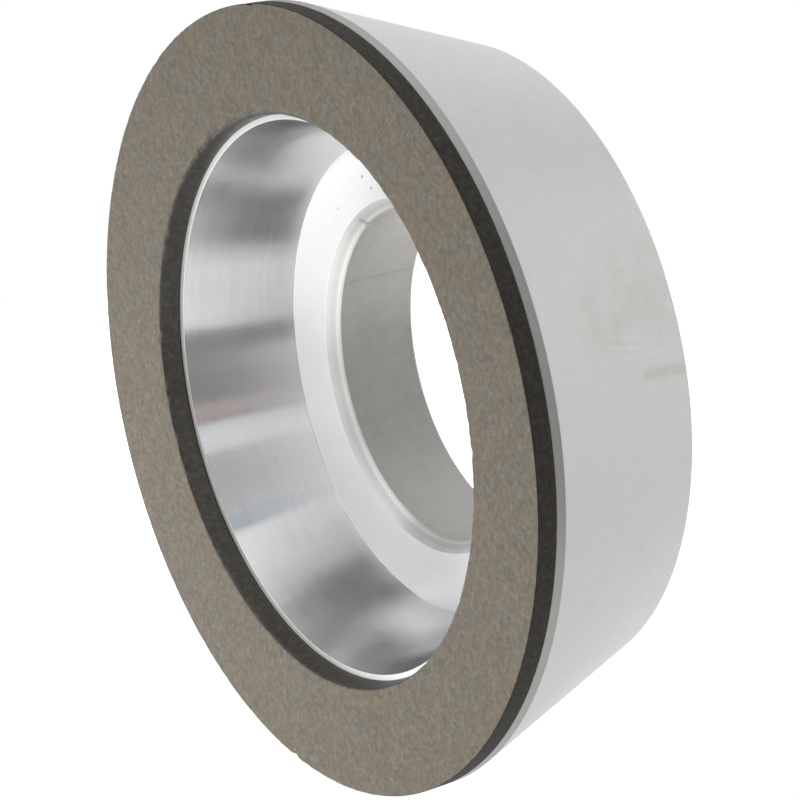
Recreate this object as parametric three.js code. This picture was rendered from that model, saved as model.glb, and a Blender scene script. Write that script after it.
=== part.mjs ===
// Flaring-cup diamond grinding wheel: a turned aluminium core, a flat ring of resin-bonded
// diamond on the front of it, and the thin film of adhesive that holds the two together.
//
// Millimetres, +Z up. The wheel stands on its rim and spins about Y. The grinding face looks
// towards -Y, the mounting face towards +Y, and the origin is the middle of the wheel.
// Every depth below is measured backwards from the grinding face.
import * as THREE from 'three';

// Driving dimensions
const WHEEL_DIAMETER = 75;
const WHEEL_THICKNESS = 22;
const BORE_DIAMETER = 32;
const ROUND_SEGMENTS = 128;

// Abrasive ring
const RIM_DEPTH = 2.0;
const RIM_WIDTH = 10.25;
const RIM_OUTER_TAPER = 0.1;
const RIM_INNER_TAPER = 0.4;

// Adhesive film
const BOND_DEPTH = 0.1;
const BOND_SETBACK = 0.05;

// Core
const LAND_SETBACK = 0.15;
const LAND_LENGTH = 1.0;
const BACK_RADIUS = 30.2;
const LIP_RADIUS = 26.3;
const LIP_LENGTH = 0.4;
const RECESS_DEPTH = 12.6;
const RECESS_FLOOR_RADIUS = 22.8;
const BORE_FRONT_CHAMFER = 1.1;
const BORE_BACK_CHAMFER = 0.3;
const EDGE_BREAK = 0.2;

const rimRadius = WHEEL_DIAMETER / 2;
const boreRadius = BORE_DIAMETER / 2;
const rimInnerRadius = rimRadius - RIM_WIDTH;
const seatDepth = RIM_DEPTH + BOND_DEPTH;
const seatInnerRadius = rimInnerRadius - RIM_INNER_TAPER;
const landRadius = rimRadius - LAND_SETBACK;

// One closed ring turned about Y. The profile lists [radius, depth] corners that run outwards
// along the front and back inwards along the rear.
function turnedRing(corners) {
  const toPoint = ([radius, depth]) => new THREE.Vector2(radius, depth - WHEEL_THICKNESS / 2);
  const profile = corners.map(toPoint);
  profile.push(profile[0].clone());
  return new THREE.LatheGeometry(profile, ROUND_SEGMENTS);
}

function namedMesh(name, geometry, color, roughness, metalness) {
  const material = new THREE.MeshStandardMaterial({ color, roughness, metalness });
  const mesh = new THREE.Mesh(geometry, material);
  mesh.name = name;
  return mesh;
}

// Flat abrasive ring. Its outer wall is nearly straight and its inner wall leans with the cup.
function diamondRim() {
  const corners = [
    [rimInnerRadius, 0],
    [rimRadius, 0],
    [rimRadius - RIM_OUTER_TAPER, RIM_DEPTH],
    [seatInnerRadius, RIM_DEPTH],
  ];
  return namedMesh('diamond_rim', turnedRing(corners), 0x857e70, 0.9, 0);
}

// Cured adhesive between the abrasive ring and the seat of the core.
function bondLayer() {
  const inner = seatInnerRadius + BOND_SETBACK;
  const outer = landRadius - BOND_SETBACK;
  const corners = [
    [inner, RIM_DEPTH],
    [outer, RIM_DEPTH],
    [outer, seatDepth],
    [inner, seatDepth],
  ];
  return namedMesh('bond_layer', turnedRing(corners), 0x34312d, 0.7, 0);
}

// Core, from the seat's inner edge outwards: seat, short straight land, flaring cone, mounting
// face, bore, chamfer, clamping floor, recess cone and the narrow lip behind the abrasive.
function coreBody() {
  const corners = [
    [seatInnerRadius, seatDepth],
    [landRadius, seatDepth],
    [landRadius, seatDepth + LAND_LENGTH],
    [BACK_RADIUS, WHEEL_THICKNESS - EDGE_BREAK],
    [BACK_RADIUS - EDGE_BREAK, WHEEL_THICKNESS],
    [boreRadius + BORE_BACK_CHAMFER, WHEEL_THICKNESS],
    [boreRadius, WHEEL_THICKNESS - BORE_BACK_CHAMFER],
    [boreRadius, RECESS_DEPTH + BORE_FRONT_CHAMFER],
    [boreRadius + BORE_FRONT_CHAMFER, RECESS_DEPTH],
    [RECESS_FLOOR_RADIUS, RECESS_DEPTH],
    [LIP_RADIUS, seatDepth + LIP_LENGTH],
  ];
  return namedMesh('core_body', turnedRing(corners), 0xc3c3be, 0.35, 1);
}

const wheel = new THREE.Group();
wheel.add(coreBody(), bondLayer(), diamondRim());

export default wheel;
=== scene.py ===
import math

import bpy
import numpy as np
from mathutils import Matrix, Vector, noise


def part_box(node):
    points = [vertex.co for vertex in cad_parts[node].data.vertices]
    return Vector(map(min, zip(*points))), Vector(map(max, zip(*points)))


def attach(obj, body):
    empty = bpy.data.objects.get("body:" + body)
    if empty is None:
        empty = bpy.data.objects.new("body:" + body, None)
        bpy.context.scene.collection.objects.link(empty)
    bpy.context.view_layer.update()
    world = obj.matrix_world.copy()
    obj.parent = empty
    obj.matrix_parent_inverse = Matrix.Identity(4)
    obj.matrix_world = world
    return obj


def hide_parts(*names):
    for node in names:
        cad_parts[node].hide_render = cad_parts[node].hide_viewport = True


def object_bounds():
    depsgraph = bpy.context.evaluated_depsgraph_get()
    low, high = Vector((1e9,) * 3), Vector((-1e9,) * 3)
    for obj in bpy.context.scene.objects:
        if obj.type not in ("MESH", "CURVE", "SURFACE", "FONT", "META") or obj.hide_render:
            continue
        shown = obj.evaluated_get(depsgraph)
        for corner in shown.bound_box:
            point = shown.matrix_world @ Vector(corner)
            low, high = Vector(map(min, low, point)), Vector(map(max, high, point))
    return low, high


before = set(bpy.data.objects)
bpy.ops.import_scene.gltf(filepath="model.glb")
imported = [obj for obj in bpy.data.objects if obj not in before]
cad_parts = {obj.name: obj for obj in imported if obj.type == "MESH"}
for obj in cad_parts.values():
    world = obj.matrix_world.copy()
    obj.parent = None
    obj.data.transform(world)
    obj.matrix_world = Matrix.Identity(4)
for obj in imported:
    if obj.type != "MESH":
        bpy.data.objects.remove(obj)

MM = 0.001
CAD_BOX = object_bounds()

# ---------------------------------------------------------------- sizes, from the frame
RIM_LOW, RIM_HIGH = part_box("diamond_rim")
BOND_LOW, BOND_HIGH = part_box("bond_layer")
CORE_LOW, CORE_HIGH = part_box("core_body")
FACE_Y = RIM_LOW.y
WHEEL_RADIUS = RIM_HIGH.x / MM
RIM_DEPTH = (RIM_HIGH.y - RIM_LOW.y) / MM
SEAT_DEPTH = (CORE_LOW.y - FACE_Y) / MM
BACK_DEPTH = (CORE_HIGH.y - FACE_Y) / MM
LAND_RADIUS = CORE_HIGH.x / MM
BOND_OUTER = BOND_HIGH.x / MM

# The wheel in millimetres: radii from the axis, and depths behind the grinding face
RIM_INNER_FRONT = 27.25
RIM_INNER_BACK = 26.85
RIM_OUTER_BACK = 37.4
LAND_END_DEPTH = 3.1
BACK_RADIUS = 30.2
BORE_RADIUS = 16.0
BORE_BACK_CHAMFER = 0.3
BORE_FRONT_CHAMFER = 1.1
RECESS_DEPTH = 12.6
FLOOR_RADIUS = 22.8
LIP_RADIUS = 26.35
LIP_DROP = 0.07
LIP_DEPTH = SEAT_DEPTH + LIP_DROP

# Where the line that places the marks in the recess starts, just behind the lip
RECESS_START_RADIUS = 26.3
RECESS_START_DEPTH = 2.5

# Points round each piece
CORE_SEGMENTS = 768
RING_SEGMENTS = 1400
BOND_SEGMENTS = 384


# ---------------------------------------------------------------- mesh helpers
def unit(vector):
    return vector / np.linalg.norm(vector)


def clamp(values):
    """The values held between 0 and 1."""
    return np.clip(values, 0, 1)


def rounded_profile(corners, arc_steps=4, hold=0.06):
    """Closed outline from (radius, depth, rounding, zone) corners. Each corner becomes an arc
    with a close point on either side that keeps the flats flat. A zone names the run after it."""
    points, zones = [], []
    count = len(corners)
    for i, (radius, depth, rounding, zone) in enumerate(corners):
        here = np.array([radius, depth])
        before = unit(np.array(corners[i - 1][:2]) - here)
        after = unit(np.array(corners[(i + 1) % count][:2]) - here)
        half = math.acos(np.clip(before @ after, -1, 1)) / 2
        tangent = rounding / math.tan(half)
        centre = here + unit(before + after) * rounding / math.sin(half)
        start = here + before * tangent - centre
        end = here + after * tangent - centre
        sweep = math.acos(np.clip(unit(start) @ unit(end), -1, 1))
        points.append(here + before * (tangent + hold))
        zones.append(corners[i - 1][3])
        for step in range(arc_steps + 1):
            t = step / arc_steps
            a, b = math.sin((1 - t) * sweep), math.sin(t * sweep)
            points.append(centre + (start * a + end * b) / math.sin(sweep))
            zones.append(zone)
        points.append(here + after * (tangent + hold))
        zones.append(zone)
    return np.array(points), zones


def turned_grid(profile, segments):
    """Points of a (radius, depth) outline in millimetres turned about Y, in metres."""
    angle = np.arange(segments) * (2 * math.pi / segments)
    radius = profile[:, 0][None, :] * MM
    place = np.empty((segments, len(profile), 3))
    place[..., 0] = radius * np.cos(angle)[:, None]
    place[..., 1] = profile[:, 1][None, :] * MM + FACE_Y
    place[..., 2] = radius * np.sin(angle)[:, None]
    return place


def ring_object(name, place, zones, materials):
    """Quads over a grid of points that closes on itself both round the wheel and along the
    outline, facing out."""
    segments, count = place.shape[:2]
    row = np.arange(segments)[:, None] * count
    next_row = ((np.arange(segments) + 1) % segments)[:, None] * count
    column = np.arange(count)[None, :]
    next_column = (np.arange(count)[None, :] + 1) % count
    quads = np.stack(
        [row + column, row + next_column, next_row + next_column, next_row + column], axis=-1
    )
    mesh = bpy.data.meshes.new(name)
    mesh.from_pydata(place.reshape(-1, 3).tolist(), [], quads.reshape(-1, 4).tolist())
    order = list(materials)
    for zone in order:
        mesh.materials.append(materials[zone])
    index = np.tile(np.array([order.index(z) for z in zones]), segments)
    mesh.polygons.foreach_set("material_index", index.astype(np.int32))
    mesh.polygons.foreach_set("use_smooth", np.ones(len(index), bool))
    mesh.update()
    piece = bpy.data.objects.new(name, mesh)
    bpy.context.scene.collection.objects.link(piece)
    return piece


def place_piece(piece, node):
    """Puts a piece on the wheel's one body, in place of a CAD node."""
    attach(piece, "root")
    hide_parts(node)


# ---------------------------------------------------------------- material helpers
class Nodes:
    """Short calls for building one material's node tree."""

    def __init__(self, name):
        self.material = bpy.data.materials.new(name)
        self.material.use_nodes = True
        self.tree = self.material.node_tree
        self.shader = self.tree.nodes["Principled BSDF"]

    def add(self, kind, **settings):
        node = self.tree.nodes.new(kind)
        for key, value in settings.items():
            setattr(node, key, value)
        return node

    def connect(self, socket, value):
        if isinstance(value, bpy.types.NodeSocket):
            self.tree.links.new(value, socket)
        else:
            socket.default_value = value

    def math(self, operation, *values, clamp=False):
        node = self.add("ShaderNodeMath", operation=operation, use_clamp=clamp)
        for socket, value in zip(node.inputs, values):
            self.connect(socket, value)
        return node.outputs[0]

    def ramp(self, factor, stops):
        node = self.add("ShaderNodeValToRGB")
        self.connect(node.inputs[0], factor)
        elements = node.color_ramp.elements
        while len(elements) < len(stops):
            elements.new(1.0)
        for element, (position, colour) in zip(elements, stops):
            element.position = position
            element.color = (*colour, 1.0)
        return node.outputs[0]

    def mix(self, factor, first, second, blend="MIX"):
        node = self.add("ShaderNodeMix", data_type="RGBA", blend_type=blend)
        self.connect(node.inputs["Factor"], factor)
        self.connect(node.inputs["A"], first)
        self.connect(node.inputs["B"], second)
        return node.outputs["Result"]

    def millimetres(self):
        """Place on the object in millimetres."""
        scale = self.add("ShaderNodeVectorMath", operation="SCALE")
        self.connect(scale.inputs[0], self.add("ShaderNodeTexCoord").outputs["Object"])
        scale.inputs["Scale"].default_value = 1 / MM
        return scale.outputs[0]

    def noise(self, where, per_mm, detail, roughness=0.5):
        node = self.add("ShaderNodeTexNoise")
        self.connect(node.inputs["Vector"], where)
        node.inputs["Scale"].default_value = per_mm
        node.inputs["Detail"].default_value = detail
        node.inputs["Roughness"].default_value = roughness
        return node.outputs["Fac"]

    def lathe_lines(self, where, per_mm, detail):
        """Noise that is the same all the way round the wheel's axis, so it makes turning lines
        that run round: it varies only with the distance from the axis and along it."""
        parts = self.add("ShaderNodeSeparateXYZ")
        self.connect(parts.inputs[0], where)
        x, y, z = parts.outputs
        square = self.math("ADD", self.math("MULTIPLY", x, x), self.math("MULTIPLY", z, z))
        lines = self.add("ShaderNodeCombineXYZ")
        self.connect(lines.inputs[0], self.math("SQRT", square))
        self.connect(lines.inputs[1], y)
        return self.noise(lines.outputs[0], per_mm, detail)

    def spot(self, where, centre, reach):
        """1 round a point of the surface, fading to 0 at the reach in millimetres."""
        away = self.add("ShaderNodeVectorMath", operation="DISTANCE")
        self.connect(away.inputs[0], where)
        away.inputs[1].default_value = centre
        return self.math("MULTIPLY_ADD", away.outputs["Value"], -1.5 / reach, 1.5, clamp=True)

    def stroke(self, where, start, end, width):
        """1 along a straight line between two points of the surface, fading to 0 beside it."""
        along = end - start
        offset = self.add("ShaderNodeVectorMath", operation="SUBTRACT")
        self.connect(offset.inputs[0], where)
        offset.inputs[1].default_value = start
        share = self.add("ShaderNodeVectorMath", operation="DOT_PRODUCT")
        self.connect(share.inputs[0], offset.outputs[0])
        share.inputs[1].default_value = along / along.length_squared
        within = self.math("MULTIPLY", share.outputs["Value"], 1.0, clamp=True)
        foot = self.add("ShaderNodeVectorMath", operation="SCALE")
        foot.inputs[0].default_value = along
        self.connect(foot.inputs["Scale"], within)
        away = self.add("ShaderNodeVectorMath", operation="DISTANCE")
        self.connect(away.inputs[0], offset.outputs[0])
        self.connect(away.inputs[1], foot.outputs[0])
        return self.math("MULTIPLY_ADD", away.outputs["Value"], -3.0 / width, 1.5, clamp=True)

    def bump(self, height, strength, relief):
        """Surface relief of the given height in millimetres."""
        node = self.add("ShaderNodeBump")
        node.inputs["Strength"].default_value = strength
        node.inputs["Distance"].default_value = relief * MM
        self.connect(node.inputs["Height"], height)
        return node.outputs[0]

    def vary(self, tone, part, share):
        """The tone moved up and down by a noise around one half."""
        return self.math("MULTIPLY_ADD", self.math("SUBTRACT", part, 0.5), share, tone)


# ---------------------------------------------------------------- materials
# How much the clouds and the lines vary a metal's roughness, and the quarter turn that draws
# its gloss out across the lines
CLOUD_GLOSS = 0.24
LINE_GLOSS = 0.12
ACROSS_THE_LINES = 0.25


def turned_metal(name, light, dark, roughness, anisotropy, pitch, relief, shares):
    """Lathe-turned aluminium. Fine lines run round the axis, so the gloss is drawn out across
    them. The shares say how much the lines, the clouds of handling, smaller patches and a fine
    grain each vary the colour. The pitch and the relief of the lines are in millimetres."""
    n = Nodes(name)
    n.where = n.millimetres()
    lines = n.lathe_lines(n.where, per_mm=1 / pitch, detail=1.2)
    clouds = n.noise(n.where, per_mm=0.13, detail=3.0, roughness=0.6)
    patches = n.noise(n.where, per_mm=0.9, detail=2.0, roughness=0.6)
    grain = n.noise(n.where, per_mm=4.5, detail=2.0, roughness=0.6)
    tone = 0.5
    for part, share in zip((lines, clouds, patches, grain), shares):
        tone = n.vary(tone, part, share)
    n.colour = n.ramp(tone, [(0.3, dark), (0.7, light)])
    n.rough = n.vary(roughness, clouds, CLOUD_GLOSS * roughness)
    n.rough = n.vary(n.rough, lines, LINE_GLOSS * roughness)
    n.shader.inputs["Metallic"].default_value = 1.0
    n.shader.inputs["Anisotropic"].default_value = anisotropy
    n.shader.inputs["Anisotropic Rotation"].default_value = ACROSS_THE_LINES
    tangent = n.add("ShaderNodeTangent", direction_type="RADIAL", axis="Y")
    n.connect(n.shader.inputs["Tangent"], tangent.outputs[0])
    if relief:
        n.connect(n.shader.inputs["Normal"], n.bump(lines, 1.0, relief))
    return n


def surface_point(angle, radius, depth):
    """A point of the wheel in millimetres. Angle 0 is towards +X and 90 is up."""
    a = math.radians(angle)
    return Vector((radius * math.cos(a), FACE_Y / MM + depth, radius * math.sin(a)))


def stain(n, mask, strength, colour):
    """Mixes a colour into a metal where the mask is 1."""
    n.colour = n.mix(n.math("MULTIPLY", mask, strength), n.colour, (*colour, 1.0))


def finish_metal(n):
    """Joins the finished colour and roughness to the shader."""
    n.connect(n.shader.inputs["Base Color"], n.colour)
    n.connect(n.shader.inputs["Roughness"], n.rough)
    return n.material


# The abrasive's grains, how much their hue differs, and the look of those that sparkle
GRIT_PER_MM = 2.4
GRIT_HUE = 0.8
SPARKLE_STRENGTH = 0.24
SPARKLE_GLOSS = 0.3


def abrasive(name, base, dark, warm, pale, sparkle_share, relief, gloss, shine):
    """Resin with diamond grit: a fine granular mix in clumps whose tint drifts, with a pale
    sparkle on a share of the grains. The relief is in millimetres, gloss is the opposite of
    roughness, and shine is the strength of the reflection."""
    n = Nodes(name)
    where = n.millimetres()
    grain = n.noise(where, per_mm=1.8, detail=3.0, roughness=0.6)
    clumps = n.noise(where, per_mm=0.8, detail=3.0, roughness=0.6)
    colour = n.ramp(grain, [(0.3, dark), (0.5, base), (0.72, warm)])
    shade = n.ramp(clumps, [(0.25, (0.89, 0.895, 0.855)), (0.75, (1.1, 1.08, 1.085))])
    colour = n.mix(1.0, colour, shade, "MULTIPLY")
    drift = n.noise(where, per_mm=0.5, detail=2.0, roughness=0.6)
    tint = n.ramp(drift, [(0.3, (0.955, 1.0, 1.055)), (0.7, (1.045, 1.0, 0.945))])
    colour = n.mix(1.0, colour, tint, "MULTIPLY")
    cells = n.add("ShaderNodeTexVoronoi")
    n.connect(cells.inputs["Vector"], where)
    cells.inputs["Scale"].default_value = GRIT_PER_MM
    chance = n.add("ShaderNodeSeparateColor")
    n.connect(chance.inputs[0], cells.outputs["Color"])
    hue = n.ramp(chance.outputs[1], [(0.0, (1.05, 0.98, 0.95)), (1.0, (0.95, 1.0, 0.99))])
    colour = n.mix(GRIT_HUE, colour, hue, "MULTIPLY")
    chosen = n.math("GREATER_THAN", chance.outputs[0], 1 - sparkle_share)
    core = n.math("MULTIPLY_ADD", cells.outputs["Distance"], -2.8, 1.4, clamp=True)
    spark = n.math("MULTIPLY", chosen, core)
    colour = n.mix(n.math("MULTIPLY", spark, SPARKLE_STRENGTH), colour, (*pale, 1.0))
    n.connect(n.shader.inputs["Base Color"], colour)
    rough = n.math("SUBTRACT", 1 - gloss, n.math("MULTIPLY", spark, SPARKLE_GLOSS))
    n.connect(n.shader.inputs["Roughness"], rough)
    n.shader.inputs["Specular IOR Level"].default_value = shine
    n.connect(n.shader.inputs["Normal"], n.bump(grain, 0.7, relief))
    return n.material


def adhesive():
    """Dark glue, a little smeared."""
    n = Nodes("adhesive")
    smear = n.noise(n.millimetres(), per_mm=1.6, detail=3.0, roughness=0.6)
    colour = n.ramp(smear, [(0.3, (0.022, 0.02, 0.018)), (0.7, (0.05, 0.046, 0.04))])
    n.connect(n.shader.inputs["Base Color"], colour)
    n.connect(n.shader.inputs["Roughness"], n.math("MULTIPLY_ADD", smear, 0.3, 0.35))
    n.connect(n.shader.inputs["Normal"], n.bump(smear, 0.5, 0.03))
    return n.material


# ---------------------------------------------------------------- the core
def wall_point(angle, depth, front, back):
    """A point on the slanted wall between a front and a back (radius, depth)."""
    share = (depth - front[1]) / (back[1] - front[1])
    return surface_point(angle, front[0] + (back[0] - front[0]) * share, depth)


def cone_point(angle, depth):
    return wall_point(angle, depth, (LAND_RADIUS, LAND_END_DEPTH), (BACK_RADIUS, BACK_DEPTH))


def recess_point(angle, depth):
    start = (RECESS_START_RADIUS, RECESS_START_DEPTH)
    return wall_point(angle, depth, start, (FLOOR_RADIUS, RECESS_DEPTH))


def mark_cone(n):
    """Marks on the outside: two cloudy darker patches, a dark rub and a few light scratches."""
    haze = n.noise(n.where, per_mm=0.3, detail=4.0, roughness=0.6)
    cloud = n.ramp(haze, [(0.36, (0, 0, 0)), (0.62, (1, 1, 1))])
    # Darker in two cloudy patches towards +X
    for angle, depth, reach in ((32, 19, 6.5), (27, 12, 6.0)):
        mask = n.math("MULTIPLY", n.spot(n.where, cone_point(angle, depth), reach), cloud)
        stain(n, mask, 0.4, (0.49, 0.49, 0.46))
    rub = n.stroke(n.where, cone_point(17.2, 16), cone_point(16.4, 21.8), width=1.5)
    stain(n, rub, 0.28, (0.38, 0.38, 0.34))
    scratches = (
        ((24.4, 12), (22.6, 18)),
        ((22.9, 11.5), (21.6, 16)),
        ((20.6, 14), (20.2, 19)),
    )
    for start, end in scratches:
        scratch = n.stroke(n.where, cone_point(*start), cone_point(*end), width=0.4)
        stain(n, scratch, 0.16, (0.8, 0.8, 0.8))


def mark_bore(n):
    """A tool mark along the bore."""
    start, end = (surface_point(164.5, BORE_RADIUS, depth) for depth in (14.3, 21.5))
    stain(n, n.stroke(n.where, start, end, width=0.5), 0.32, (0.36, 0.35, 0.33))


def speck_floor(n):
    """Three dark specks on the floor of the recess."""
    for angle, radius, reach in ((121.8, 19.8, 0.22), (118.7, 18.4, 0.2), (140, 19.2, 0.12)):
        speck = n.spot(n.where, surface_point(angle, radius, RECESS_DEPTH), reach)
        stain(n, speck, 0.8, (0.2, 0.19, 0.17))


def speck_recess(n):
    """Three bright specks on the wall of the recess."""
    for angle, depth, reach in ((153.9, 11.1, 0.3), (160.3, 9.2, 0.22), (-78.6, 7.25, 0.25)):
        stain(n, n.spot(n.where, recess_point(angle, depth), reach), 0.8, (1.0, 1.0, 1.0))


def core_materials():
    satin = {"light": (0.655, 0.665, 0.638), "dark": (0.58, 0.58, 0.575)}
    bright = {"light": (0.84, 0.84, 0.85), "dark": (0.75, 0.75, 0.76)}
    faced = {"light": (0.96, 0.96, 0.95), "dark": (0.9, 0.9, 0.89)}
    edged = {"light": (0.93, 0.93, 0.91), "dark": (0.74, 0.74, 0.72)}
    grey = {"light": (0.46, 0.46, 0.45), "dark": (0.39, 0.39, 0.38)}
    dull = {"light": (0.56, 0.55, 0.53), "dark": (0.47, 0.46, 0.44)}
    cone = turned_metal("satin_cone", **satin, roughness=0.5, anisotropy=0.4, pitch=0.45,
                        relief=0.002, shares=(0.14, 0.45, 0.25, 0.3))
    mark_cone(cone)
    land = turned_metal("turned_land", **grey, roughness=0.55, anisotropy=0.3, pitch=0.3,
                        relief=0.003, shares=(0.5, 0.2, 0.2, 0.1))
    back = turned_metal("faced_back", **satin, roughness=0.34, anisotropy=0.6, pitch=0.4,
                        relief=0.003, shares=(0.6, 0.3, 0.1, 0.1))
    bore = turned_metal("bored_hole", **dull, roughness=0.6, anisotropy=0.2, pitch=0.3,
                        relief=0.001, shares=(0.2, 0.9, 0.4, 0.2))
    mark_bore(bore)
    recess = turned_metal("bright_recess", **bright, roughness=0.2, anisotropy=0.88, pitch=0.5,
                          relief=0, shares=(0.28, 0.4, 0.2, 0.0))
    speck_recess(recess)
    floor = turned_metal("faced_floor", **faced, roughness=0.4, anisotropy=0.85, pitch=0.4,
                         relief=0.0005, shares=(0.6, 0.3, 0.1, 0.0))
    speck_floor(floor)
    chamfer = turned_metal("bore_chamfer", **edged, roughness=0.42, anisotropy=0.75, pitch=0.4,
                           relief=0.002, shares=(1.0, 0.3, 0.1, 0.0))
    lip = turned_metal("turned_lip", **faced, roughness=0.4, anisotropy=0.75, pitch=0.3,
                       relief=0, shares=(0.4, 0.3, 0.1, 0.0))
    named = {"cone": cone, "land": land, "back": back, "bore": bore, "recess": recess,
             "floor": floor, "chamfer": chamfer, "lip": lip}
    return {zone: finish_metal(n) for zone, n in named.items()}


# The burr's middle, its reach to either side and how far it takes to fade, in degrees, and its
# size in millimetres
NICK_ANGLE = 133.5
NICK_REACH = 1.04
NICK_FADE = 0.8
NICK_DEPTH = 0.5


def nick_bore(place):
    """A small burr on the front edge of the bore, where the chamfer runs a little deeper."""
    angle = np.degrees(np.arctan2(place[..., 2], place[..., 0]))
    depth = (place[..., 1] - FACE_Y) / MM
    radius = np.hypot(place[..., 0], place[..., 2]) / MM
    edge = RECESS_DEPTH + BORE_FRONT_CHAMFER
    at_edge = (radius < BORE_RADIUS + 0.03) & (np.abs(depth - edge) < 0.2)
    share = clamp((NICK_REACH - np.abs(angle - NICK_ANGLE)) / NICK_FADE)
    place[..., 1] += np.where(at_edge, NICK_DEPTH * share * MM, 0)


def make_core():
    """The aluminium body: one closed outline, turned."""
    corners = [
        (RIM_INNER_BACK, SEAT_DEPTH, 0.04, "land"),
        (LAND_RADIUS, SEAT_DEPTH, 0.05, "land"),
        (LAND_RADIUS, LAND_END_DEPTH, 0.12, "cone"),
        (BACK_RADIUS, BACK_DEPTH, 0.22, "back"),
        (BORE_RADIUS + BORE_BACK_CHAMFER, BACK_DEPTH, 0.05, "bore"),
        (BORE_RADIUS, BACK_DEPTH - BORE_BACK_CHAMFER, 0.05, "bore"),
        (BORE_RADIUS, RECESS_DEPTH + BORE_FRONT_CHAMFER, 0.06, "chamfer"),
        (BORE_RADIUS + BORE_FRONT_CHAMFER, RECESS_DEPTH, 0.12, "floor"),
        (FLOOR_RADIUS, RECESS_DEPTH, 0.06, "recess"),
        (LIP_RADIUS, LIP_DEPTH, 0.05, "lip"),
    ]
    profile, zones = rounded_profile(corners)
    place = turned_grid(profile, CORE_SEGMENTS)
    nick_bore(place)
    piece = ring_object("turned_core", place, zones, core_materials())
    place_piece(piece, "core_body")


# ---------------------------------------------------------------- the abrasive ring
def spaced(start, end, steps, crowd):
    """Steps from start up to but without end, crowded towards both when crowd is above 0."""
    t = np.linspace(0, 1, steps, endpoint=False)
    eased = t - crowd * np.sin(2 * math.pi * t) / (2 * math.pi)
    return start + (end - start) * eased


def ring_walls(depth):
    """Radii of the ring's outer and inner walls at a depth."""
    share = depth / RIM_DEPTH
    outer = WHEEL_RADIUS + (RIM_OUTER_BACK - WHEEL_RADIUS) * share
    inner = RIM_INNER_FRONT + (RIM_INNER_BACK - RIM_INNER_FRONT) * share
    return outer, inner


def ring_outline():
    """Fine outline of the abrasive ring: front face outwards, outer wall, back, inner wall."""
    face = spaced(RIM_INNER_FRONT, WHEEL_RADIUS, steps=44, crowd=0.55)
    wall = spaced(0, RIM_DEPTH, steps=10, crowd=0.3)
    outer, inner = ring_walls(wall)
    back = spaced(RIM_OUTER_BACK, RIM_INNER_BACK, steps=3, crowd=0)
    outline = [(r, 0.0) for r in face]
    outline += list(zip(outer, wall))
    outline += [(r, RIM_DEPTH) for r in back]
    outline += [(RIM_INNER_BACK, RIM_DEPTH)]
    outline += list(zip(inner, wall))[:0:-1]
    zones = ["face"] * len(face) + ["outer"] * (len(wall) + len(back))
    zones += ["inner"] * (len(outline) - len(zones))
    return np.array(outline), zones


def lumps(points, per_mm, seed):
    """Smooth noise from -1 to 1 at each point, given in millimetres."""
    shift = Vector((seed * 17.3, seed * 5.1, seed * 9.7))
    return np.array([noise.noise(Vector(p) * per_mm + shift) for p in points])


# Millimetres of breakage along the ring's front edges, and of relief in its surface
EDGE_WEAR = 0.06
COARSE_CRUMBLE = 0.12
FINE_CRUMBLE = 0.08
CHIP_SIZE = 2.4
INNER_WEAR = 0.04
INNER_WEAR_TOP = 0.5
INNER_CRUMBLE = 0.14
INNER_CRUMBLE_LEFT = 0.3
FACE_GRAIN = 0.014
FACE_PITS = 0.12
WALL_GRAIN = 0.03

# Levels that the noise has to pass before there is a chip or a pit
CHIP_LEVEL = 0.35
PIT_LEVEL = 0.42


def chip_edges(radius, depth, points):
    """Breaks the two front edges of the ring unevenly: fine crumbling all round and a few
    larger chips. The inner edge crumbles most towards -X and is worn back at the top. Each
    point nearer to the edge than the break moves back onto it."""
    crumble = EDGE_WEAR + COARSE_CRUMBLE * clamp(lumps(points, 1.1, seed=1))
    crumble += FINE_CRUMBLE * clamp(lumps(points, 4.0, seed=2))
    chips = clamp(lumps(points, 0.22, seed=3) - CHIP_LEVEL)
    chips = chips * clamp(lumps(points, 1.0, seed=4))
    breakage = crumble + CHIP_SIZE * chips
    worn = clamp(points[:, 2] / RIM_INNER_FRONT) ** 3
    uneven = INNER_CRUMBLE + INNER_CRUMBLE_LEFT * clamp(-points[:, 0] / RIM_INNER_FRONT)
    inner_breakage = breakage + INNER_WEAR + uneven * clamp(lumps(points, 0.9, seed=7) + 0.05)
    inner_breakage += INNER_WEAR_TOP * worn
    outer, inner = ring_walls(depth)
    from_outer = (outer - radius) + depth
    from_inner = (radius - inner) + depth
    push = np.clip(breakage - from_outer, 0, None) / 2
    pull = np.clip(inner_breakage - from_inner, 0, None) / 2
    return radius - push + pull, depth + push + pull


def abrasive_materials():
    grey_grain = (0.12, 0.11, 0.09)
    face = abrasive("abrasive_face", base=(0.241, 0.217, 0.178), dark=(0.194, 0.175, 0.143),
                    warm=(0.293, 0.261, 0.215), pale=(0.54, 0.45, 0.385), sparkle_share=0.1,
                    relief=0.04, gloss=0.08, shine=0.35)
    outer = abrasive("abrasive_outer_wall", base=(0.034, 0.03, 0.025), dark=(0.022, 0.02, 0.016),
                     warm=(0.055, 0.05, 0.041), pale=grey_grain, sparkle_share=0.01,
                     relief=0.05, gloss=0.2, shine=0.4)
    inner = abrasive("abrasive_inner_wall", base=(0.05, 0.045, 0.034), dark=(0.032, 0.028, 0.021),
                     warm=(0.085, 0.076, 0.058), pale=grey_grain, sparkle_share=0.01,
                     relief=0.03, gloss=0.6, shine=0.65)
    return {"face": face, "outer": outer, "inner": inner}


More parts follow.
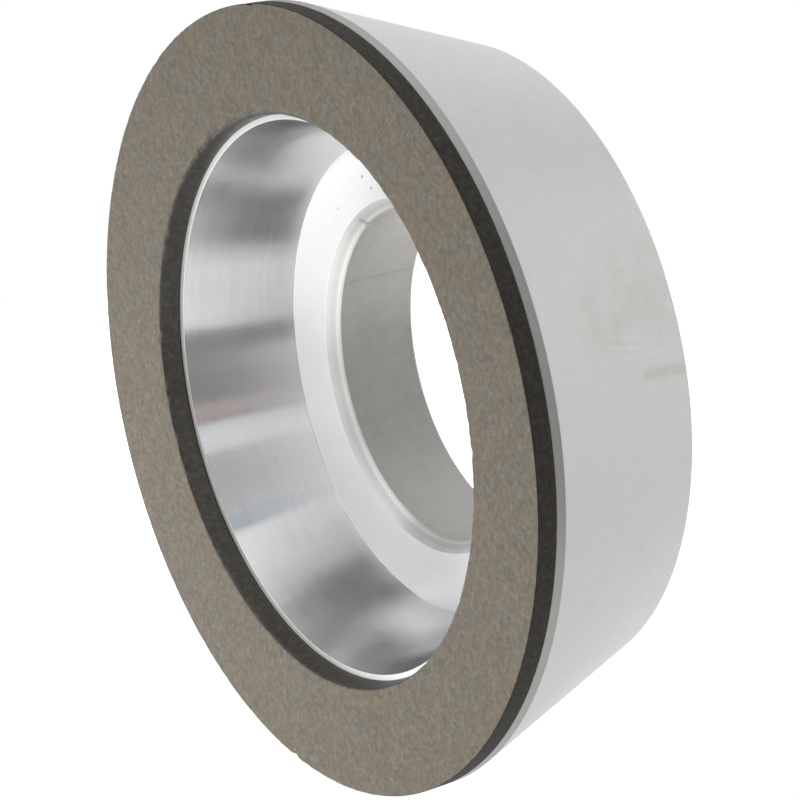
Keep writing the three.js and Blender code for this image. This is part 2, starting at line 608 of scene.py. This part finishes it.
def make_ring():
    """The grinding ring: broken edges, a grainy face with pits, and grainy walls."""
    outline, zones = ring_outline()
    angle = np.arange(RING_SEGMENTS) * (2 * math.pi / RING_SEGMENTS)
    radius = np.broadcast_to(outline[:, 0], (RING_SEGMENTS, len(outline))).ravel()
    depth = np.broadcast_to(outline[:, 1], (RING_SEGMENTS, len(outline))).ravel()
    turn = np.repeat(angle, len(outline))
    points = np.stack([radius * np.cos(turn), depth, radius * np.sin(turn)], axis=-1)
    radius, depth = chip_edges(radius, depth, points)
    on_face = np.tile(np.array([z == "face" for z in zones]), RING_SEGMENTS)
    grain = 0.5 + 0.5 * lumps(points, 2.6, seed=5)
    pits = clamp(lumps(points, 1.7, seed=6) - PIT_LEVEL)
    depth = depth + np.where(on_face, FACE_GRAIN * grain + FACE_PITS * pits, 0)
    middle = (RIM_INNER_FRONT + WHEEL_RADIUS) / 2
    inwards = np.where(radius > middle, -1, 1)
    hidden = depth > RIM_DEPTH - 0.02
    radius = radius + np.where(on_face | hidden, 0, inwards * WALL_GRAIN * grain)
    place = np.stack([radius * np.cos(turn), depth, radius * np.sin(turn)], axis=-1) * MM
    place[:, 1] += FACE_Y
    place = place.reshape(RING_SEGMENTS, -1, 3)
    piece = ring_object("abrasive_ring", place, zones, abrasive_materials())
    place_piece(piece, "diamond_rim")


# ---------------------------------------------------------------- the bond
def make_bond():
    """The film of adhesive between the ring and the core."""
    inner = RIM_INNER_BACK + 0.05
    corners = [
        (inner, RIM_DEPTH, 0.02, "film"),
        (BOND_OUTER, RIM_DEPTH, 0.02, "film"),
        (BOND_OUTER, SEAT_DEPTH, 0.02, "film"),
        (inner, SEAT_DEPTH, 0.02, "film"),
    ]
    profile, zones = rounded_profile(corners, arc_steps=2, hold=0.01)
    place = turned_grid(profile, BOND_SEGMENTS)
    piece = ring_object("adhesive_film", place, zones, {"film": adhesive()})
    place_piece(piece, "bond_layer")


# ---------------------------------------------------------------- stage, light and camera
# The stage in metres and degrees
TABLE_RADIUS = 0.125
TABLE_CENTRE = (-0.002, 0.01)
TABLE_GREY = 0.3

# The table's glow is even to the right of a place on X, and grows over a stretch to the left
# of it. Both are in millimetres.
TABLE_GLOW = 0.7
TABLE_LEFT_GLOW = 0.9
TABLE_GLOW_TURN = 40
TABLE_GLOW_STRETCH = 120


def make_table():
    """A round white table top under the wheel that glows as painted light, more strongly towards
    -X.
    """
    sides = 96
    angle = [2 * math.pi * i / sides for i in range(sides)]
    x, y = TABLE_CENTRE
    rim = [(x + TABLE_RADIUS * math.cos(a), y + TABLE_RADIUS * math.sin(a), 0) for a in angle]
    mesh = bpy.data.meshes.new("table")
    mesh.from_pydata(rim, [], [tuple(range(sides))])
    n = Nodes("table_top")
    n.shader.inputs["Base Color"].default_value = (TABLE_GREY, TABLE_GREY, TABLE_GREY, 1)
    n.shader.inputs["Roughness"].default_value = 0.8
    place = n.add("ShaderNodeSeparateXYZ")
    n.connect(place.inputs[0], n.millimetres())
    leftwards = n.math("MULTIPLY_ADD", place.outputs[0], -1 / TABLE_GLOW_STRETCH,
                       TABLE_GLOW_TURN / TABLE_GLOW_STRETCH, clamp=True)
    # Painted light: the table's own glow, brighter towards -X
    glow = n.math("MULTIPLY_ADD", leftwards, TABLE_LEFT_GLOW, TABLE_GLOW)
    n.shader.inputs["Emission Color"].default_value = (1, 1, 1, 1)
    n.connect(n.shader.inputs["Emission Strength"], glow)
    mesh.materials.append(n.material)
    table = bpy.data.objects.new("table", mesh)
    table.location = (0, 0, CAD_BOX[0][2])
    bpy.context.scene.collection.objects.link(table)


def direction(azimuth, elevation):
    """Unit vector away from the wheel, from angles in degrees. Azimuth 0 is in front of the
    grinding face, and 90 is towards +X."""
    a, e = math.radians(azimuth), math.radians(elevation)
    return Vector((math.sin(a) * math.cos(e), -math.cos(a) * math.cos(e), math.sin(e)))


PANEL_DISTANCE = 1.2
WHITE = (1, 1, 1)

# Soft panels: name, azimuth, elevation, width, height, brightness and tint
PANELS = (
    ("right_under", 88, -3.2, 0.85, 0.82, 0.215, WHITE),
    ("right_pink", 88, 18.6, 0.85, 0.13, 0.5, (1.0, 0.77, 0.72)),
    ("right_strip", 88, 29.3, 0.85, 0.25, 0.88, (0.97, 0.98, 1.0)),
    ("right_fill", 88, 48, 0.85, 0.54, 0.46, (1.0, 0.965, 0.975)),
    ("right_blue", 88, 63.6, 0.85, 0.13, 0.5, (0.68, 0.87, 1.0)),
    ("top_box", 90, 86.5, 1.6, 0.78, 1.0, WHITE),
    ("top_left_box", -90, 62, 1.6, 0.62, 0.95, WHITE),
    ("left_strip", -90, 29, 1.6, 0.2, 1.3, (0.95, 0.98, 1.0)),
    ("left_low", -90, 12, 1.6, 0.5, 0.42, WHITE),
    ("left_under", -90, -13, 1.6, 0.5, 0.5, WHITE),
    ("front_low", -7, 4, 2.6, 1.2, 1.0, WHITE),
    ("front_right_low", 55, -17, 0.5, 0.5, 0.6, WHITE),
    ("front_high", 0, 54, 1.4, 0.5, 0.75, WHITE),
    ("back_right", 155, 5, 1.4, 1.45, 1.07, WHITE),
    ("back_left", 210, 9, 1.4, 1.3, 1.07, WHITE),
    ("back_top", 195, 54, 1.4, 0.5, 0.4, WHITE),
)


def softbox(name, azimuth, elevation, width, height, brightness, tint):
    """A soft panel that faces the wheel. The brightness is its own, whatever its size."""
    towards = direction(azimuth, elevation)
    lamp = bpy.data.lights.new(name, "AREA")
    lamp.shape = "RECTANGLE"
    lamp.size = width
    lamp.size_y = height
    lamp.color = tint
    lamp.energy = brightness * math.pi * width * height
    panel = bpy.data.objects.new(name, lamp)
    panel.location = towards * PANEL_DISTANCE
    panel.rotation_euler = towards.to_track_quat("Z", "Y").to_euler()
    bpy.context.scene.collection.objects.link(panel)


def make_world():
    """White behind the wheel as the camera sees it, and nearly dark to everything else, so that
    the panels do the lighting."""
    world = bpy.data.worlds.new("studio")
    world.use_nodes = True
    tree = world.node_tree
    seen = tree.nodes["Background"]
    seen.inputs["Color"].default_value = (1, 1, 1, 1)
    seen.inputs["Strength"].default_value = 1.0
    unseen = tree.nodes.new("ShaderNodeBackground")
    unseen.inputs["Strength"].default_value = 0.05
    path = tree.nodes.new("ShaderNodeLightPath")
    choose = tree.nodes.new("ShaderNodeMixShader")
    tree.links.new(path.outputs["Is Camera Ray"], choose.inputs[0])
    tree.links.new(unseen.outputs[0], choose.inputs[1])
    tree.links.new(seen.outputs[0], choose.inputs[2])
    tree.links.new(choose.outputs[0], tree.nodes["World Output"].inputs[0])
    bpy.context.scene.world = world


CAMERA_AZIMUTH = 56.92
CAMERA_ELEVATION = 21.76
CAMERA_DISTANCE = 0.47464
CAMERA_AIM = Vector((0.00476, -0.00401, 0.00042))
CAMERA_LENS = 230.4


def make_camera():
    """A long lens that looks down at the wheel from its front right."""
    data = bpy.data.cameras.new("camera")
    data.lens = CAMERA_LENS
    data.clip_start = 0.01
    camera = bpy.data.objects.new("camera", data)
    back = direction(CAMERA_AZIMUTH, CAMERA_ELEVATION)
    camera.location = CAMERA_AIM + back * CAMERA_DISTANCE
    tilt = math.radians(90 - CAMERA_ELEVATION)
    camera.rotation_euler = (tilt, 0, math.radians(CAMERA_AZIMUTH))
    bpy.context.scene.collection.objects.link(camera)
    bpy.context.scene.camera = camera


make_core()
make_bond()
make_ring()
make_table()
make_world()
for settings in PANELS:
    softbox(*settings)
make_camera()
bpy.context.scene.view_settings.view_transform = "Standard"
